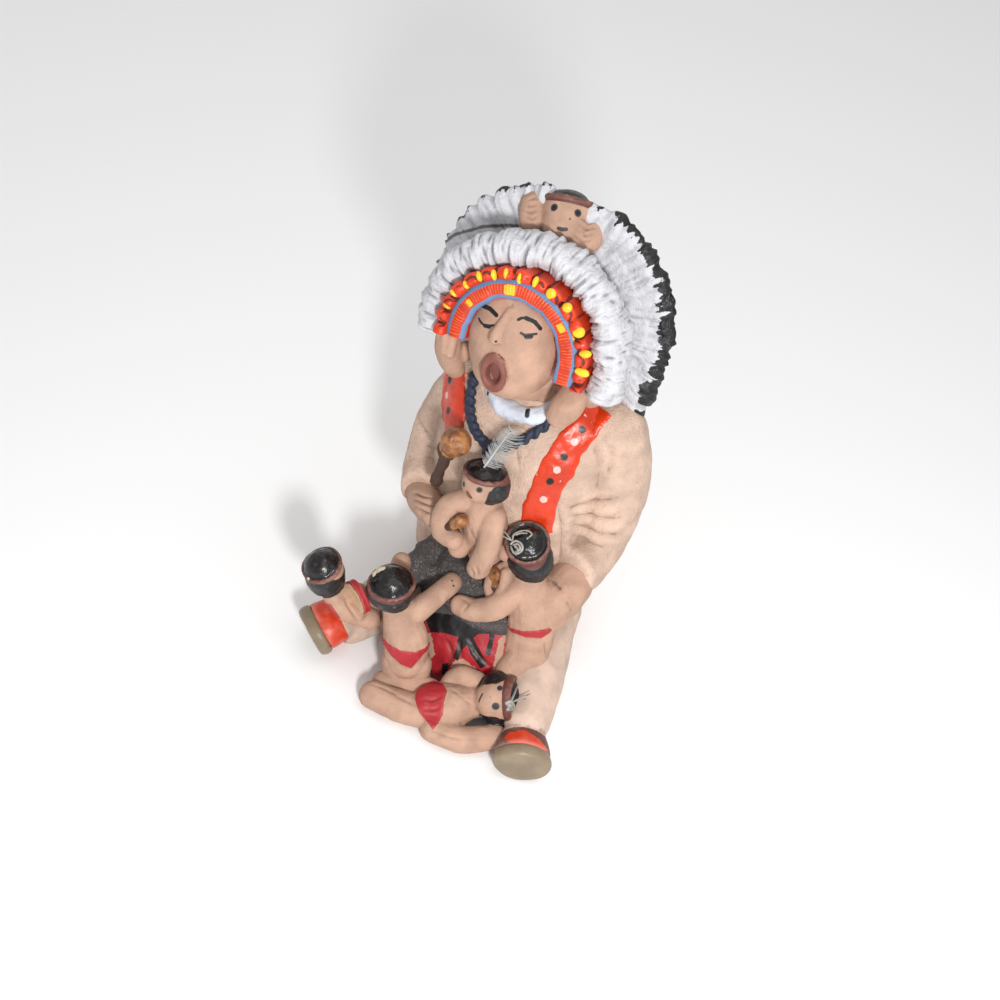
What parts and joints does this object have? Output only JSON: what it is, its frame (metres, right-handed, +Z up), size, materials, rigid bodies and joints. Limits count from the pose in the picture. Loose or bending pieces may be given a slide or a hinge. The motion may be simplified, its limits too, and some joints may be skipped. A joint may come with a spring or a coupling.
{
  "type": "storyteller figure",
  "caption": "Seated painted clay storyteller in a feather bonnet, mouth open in song, with small children modelled onto the lap, legs and bonnet, holding gourd rattles.",
  "frame": {"origin": "the middle of the seat's flat underside", "axes": "+Z up, the figure looks along -Y, +X to its own left"},
  "size_m": [0.1212, 0.1233, 0.1853],
  "materials": {
    "painted_clay": "fired clay painted by hand, matt on skin and buckskin, glossy on hair, strips and soles",
    "gourd": "varnished amber, mottled",
    "feather": "natural down on a quill, with dried glue"
  },
  "bodies": {
    "root": {"storyteller_group": "painted_clay", "gourd_rattle": "gourd", "lap_child_rattle": "gourd", "knee_child_rattle": "gourd", "lap_child_feather": "feather", "knee_child_quills": "feather", "ground_child_quills": "feather"}
  },
  "joints": []
}
